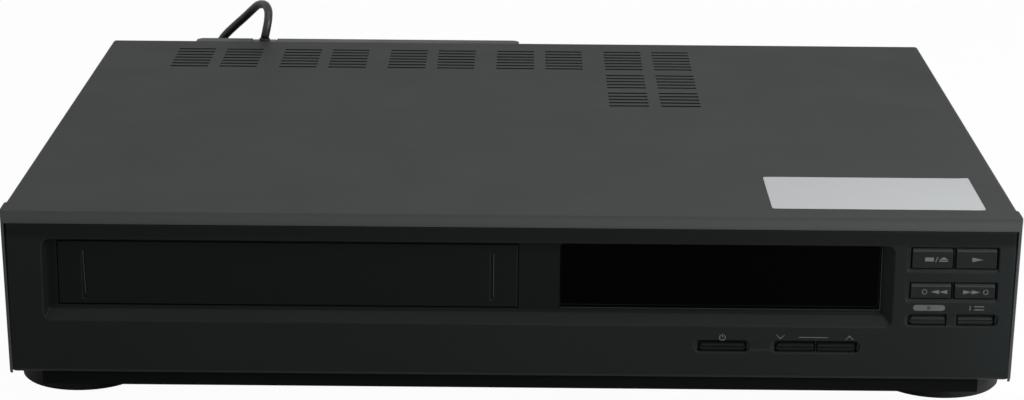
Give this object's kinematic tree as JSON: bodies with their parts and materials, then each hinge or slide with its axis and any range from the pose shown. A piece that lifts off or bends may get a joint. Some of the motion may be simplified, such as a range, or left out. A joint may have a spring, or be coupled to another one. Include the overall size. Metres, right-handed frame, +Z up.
{
  "type": "video cassette recorder",
  "caption": "Slim front-loading video cassette recorder: folded steel cover, moulded panel with cassette flap, display and push buttons, tape deck inside, mains lead behind.",
  "frame": {"origin": "on the floor under the middle of the object's box without its mains lead", "axes": "+X to the right along the front as a user sees it, +Y from the front panel to the back, +Z up"},
  "size_m": [0.4743, 0.4266, 0.1061],
  "materials": {
    "case_paint": "fine satin paint",
    "rear_plastic": "moulded, slightly lighter than the case",
    "panel_plastic": "moulded, smooth matt",
    "flap_plastic": "moulded, smooth matt",
    "key_plastic": "moulded, fine matt",
    "window_gloss": "polished smoked acrylic",
    "foot_plastic": "matt",
    "tube_glass": "dark coated glass",
    "board": "phenolic board",
    "switch_steel": "tinned",
    "screw_steel": "blackened",
    "spring_steel": "drawn wire",
    "socket_plastic": "moulded",
    "can_tin": "tinned sheet",
    "core_steel": "varnished laminations",
    "sink_aluminium": "black anodised",
    "deck_zinc": "zinc plated",
    "slider_steel": "plated",
    "gear_plastic": "natural acetal",
    "motor_steel": "plated",
    "drum_aluminium": "fine turned",
    "bearing_brass": "turned",
    "stator_board": "lacquered coils",
    "roller_rubber": "ground rubber",
    "reel_plastic": "moulded",
    "head_steel": "polished",
    "cord_rubber": "flexible vinyl",
    "tie_plastic": "soft plastic",
    "pin_metal": "nickel plated"
  },
  "bodies": {
    "case": {"top_cover": "case_paint", "front_panel": "panel_plastic", "bottom_pan": "case_paint", "rear_panel": "case_paint", "rear_housing": "rear_plastic", "feet": "foot_plastic", "screws": "screw_steel", "flap_spring": "spring_steel", "display_window": "window_gloss", "display_tube": "tube_glass", "front_board": "board", "tact_switches": "switch_steel", "main_board": "board", "tuner_can": "can_tin", "av_sockets": "socket_plastic", "power_board": "board", "transformer": "core_steel", "heat_sink": "sink_aluminium", "deck_plate": "deck_zinc", "cage_left": "deck_zinc", "cage_right": "deck_zinc", "cage_bridge": "deck_zinc", "loading_motor": "motor_steel", "lower_drum": "drum_aluminium", "head_amp_can": "can_tin", "capstan_bearing": "bearing_brass", "capstan_stator": "stator_board", "erase_head": "head_steel", "sound_head": "head_steel", "cord_relief": "cord_rubber", "power_cord": "cord_rubber", "cord_coil": "cord_rubber", "coil_tie": "tie_plastic", "plug_body": "cord_rubber", "plug_pins": "pin_metal"},
    "flap": {"cassette_flap": "flap_plastic"},
    "slider": {"loading_slider": "slider_steel"},
    "holder": {"cassette_holder": "deck_zinc"},
    "cam": {"cam_gear": "gear_plastic"},
    "pinion": {"motor_pinion": "gear_plastic"},
    "drum": {"upper_drum": "drum_aluminium"},
    "capstan": {"capstan_rotor": "motor_steel"},
    "pinch": {"pinch_arm": "slider_steel"},
    "roller": {"pinch_roller": "roller_rubber"},
    "supply": {"supply_reel": "reel_plastic"},
    "takeup": {"takeup_reel": "reel_plastic"},
    "idler": {"idler_arm": "slider_steel"},
    "idler_roll": {"idler_wheel": "roller_rubber"},
    "guide_l": {"guide_left": "slider_steel"},
    "guide_r": {"guide_right": "slider_steel"},
    "tension": {"tension_arm": "slider_steel"},
    "key_stop": {"button_stop": "key_plastic"},
    "key_play": {"button_play": "key_plastic"},
    "key_rewind": {"button_rewind": "key_plastic"},
    "key_forward": {"button_forward": "key_plastic"},
    "key_record": {"button_record": "key_plastic"},
    "key_speed": {"button_speed": "key_plastic"},
    "key_power": {"button_power": "key_plastic"},
    "key_channel_down": {"button_channel_down": "key_plastic"},
    "key_channel_up": {"button_channel_up": "key_plastic"}
  },
  "joints": [
    {"name": "flap_hinge", "type": "hinge", "parent": "case", "child": "flap", "pos_m": [-0.0947, -0.1595, 0.0726], "axis": [1, 0, 0], "range_deg": [0, 88], "stiffness_Nm_per_rad": 0.004, "springref_deg": -17.19},
    {"name": "draw_in", "type": "slide", "parent": "case", "child": "slider", "axis": [0, 1, 0], "range_m": [0, 0.056]},
    {"name": "lower", "type": "slide", "parent": "slider", "child": "holder", "axis": [0, 0, -1], "range_m": [0, 0.0185]},
    {"name": "cam_turn", "type": "hinge", "parent": "case", "child": "cam", "pos_m": [-0.0167, 0.0195, 0.0212], "axis": [0, 0, 1], "range_deg": [0, 280.1]},
    {"name": "pinion_turn", "type": "hinge", "parent": "case", "child": "pinion", "pos_m": [-0.0167, 0.04075, 0.0212], "axis": [0, 0, 1], "range_deg": [-672.5, 0]},
    {"name": "drum_spin", "type": "hinge", "parent": "case", "child": "drum", "pos_m": [-0.0947, 0.0135, 0.0212], "axis": [0, -0.1045, 0.9945], "continuous": true},
    {"name": "capstan_spin", "type": "hinge", "parent": "case", "child": "capstan", "pos_m": [-0.0347, -0.0195, 0.0212], "axis": [0, 0, 1], "continuous": true},
    {"name": "pinch_swing", "type": "hinge", "parent": "case", "child": "pinch", "pos_m": [-0.0087, -0.0055, 0.0212], "axis": [0, 0, 1], "range_deg": [0, 14.5], "stiffness_Nm_per_rad": 0.01},
    {"name": "roller_spin", "type": "hinge", "parent": "pinch", "child": "roller", "pos_m": [-0.03467, -0.00423, 0.0212], "axis": [0, 0, 1], "continuous": true},
    {"name": "supply_spin", "type": "hinge", "parent": "case", "child": "supply", "pos_m": [-0.1407, -0.0855, 0.0212], "axis": [0, 0, 1], "continuous": true},
    {"name": "takeup_spin", "type": "hinge", "parent": "case", "child": "takeup", "pos_m": [-0.0487, -0.0855, 0.0212], "axis": [0, 0, 1], "continuous": true},
    {"name": "idler_swing", "type": "hinge", "parent": "case", "child": "idler", "pos_m": [-0.0947, -0.0565, 0.0212], "axis": [0, 0, 1], "range_deg": [-30, 30]},
    {"name": "idler_spin", "type": "hinge", "parent": "idler", "child": "idler_roll", "pos_m": [-0.0947, -0.0855, 0.0212], "axis": [0, 0, 1], "continuous": true},
    {"name": "guide_left_run", "type": "slide", "parent": "case", "child": "guide_l", "axis": [-0.2669, 0.9637, 0], "range_m": [0, 0.066]},
    {"name": "guide_right_run", "type": "slide", "parent": "case", "child": "guide_r", "axis": [0.2669, 0.9637, 0], "range_m": [0, 0.066]},
    {"name": "tension_swing", "type": "hinge", "parent": "case", "child": "tension", "pos_m": [-0.1687, -0.0135, 0.0212], "axis": [0, 0, 1], "range_deg": [-12, 12], "stiffness_Nm_per_rad": 0.01},
    {"name": "press_stop", "type": "slide", "parent": "case", "child": "key_stop", "axis": [0, 1, 0], "range_m": [0, 0.0006], "stiffness_N_per_m": 500, "springref_m": -0.0006},
    {"name": "press_play", "type": "slide", "parent": "case", "child": "key_play", "axis": [0, 1, 0], "range_m": [0, 0.0006], "stiffness_N_per_m": 500, "springref_m": -0.0006},
    {"name": "press_rewind", "type": "slide", "parent": "case", "child": "key_rewind", "axis": [0, 1, 0], "range_m": [0, 0.0006], "stiffness_N_per_m": 500, "springref_m": -0.0006},
    {"name": "press_forward", "type": "slide", "parent": "case", "child": "key_forward", "axis": [0, 1, 0], "range_m": [0, 0.0006], "stiffness_N_per_m": 500, "springref_m": -0.0006},
    {"name": "press_record", "type": "slide", "parent": "case", "child": "key_record", "axis": [0, 1, 0], "range_m": [0, 0.0006], "stiffness_N_per_m": 500, "springref_m": -0.0006},
    {"name": "press_speed", "type": "slide", "parent": "case", "child": "key_speed", "axis": [0, 1, 0], "range_m": [0, 0.0006], "stiffness_N_per_m": 500, "springref_m": -0.0006},
    {"name": "press_power", "type": "slide", "parent": "case", "child": "key_power", "axis": [0, 1, 0], "range_m": [0, 0.0006], "stiffness_N_per_m": 500, "springref_m": -0.0006},
    {"name": "press_channel_down", "type": "slide", "parent": "case", "child": "key_channel_down", "axis": [0, 1, 0], "range_m": [0, 0.0006], "stiffness_N_per_m": 500, "springref_m": -0.0006},
    {"name": "press_channel_up", "type": "slide", "parent": "case", "child": "key_channel_up", "axis": [0, 1, 0], "range_m": [0, 0.0006], "stiffness_N_per_m": 500, "springref_m": -0.0006}
  ],
  "couplings": [
    {"joint": "cam_turn", "follows": "draw_in", "rad_per_m": 87.266},
    {"joint": "pinion_turn", "follows": "draw_in", "rad_per_m": -209.44},
    {"joint": "guide_right_run", "follows": "guide_left_run", "ratio": 1}
  ]
}
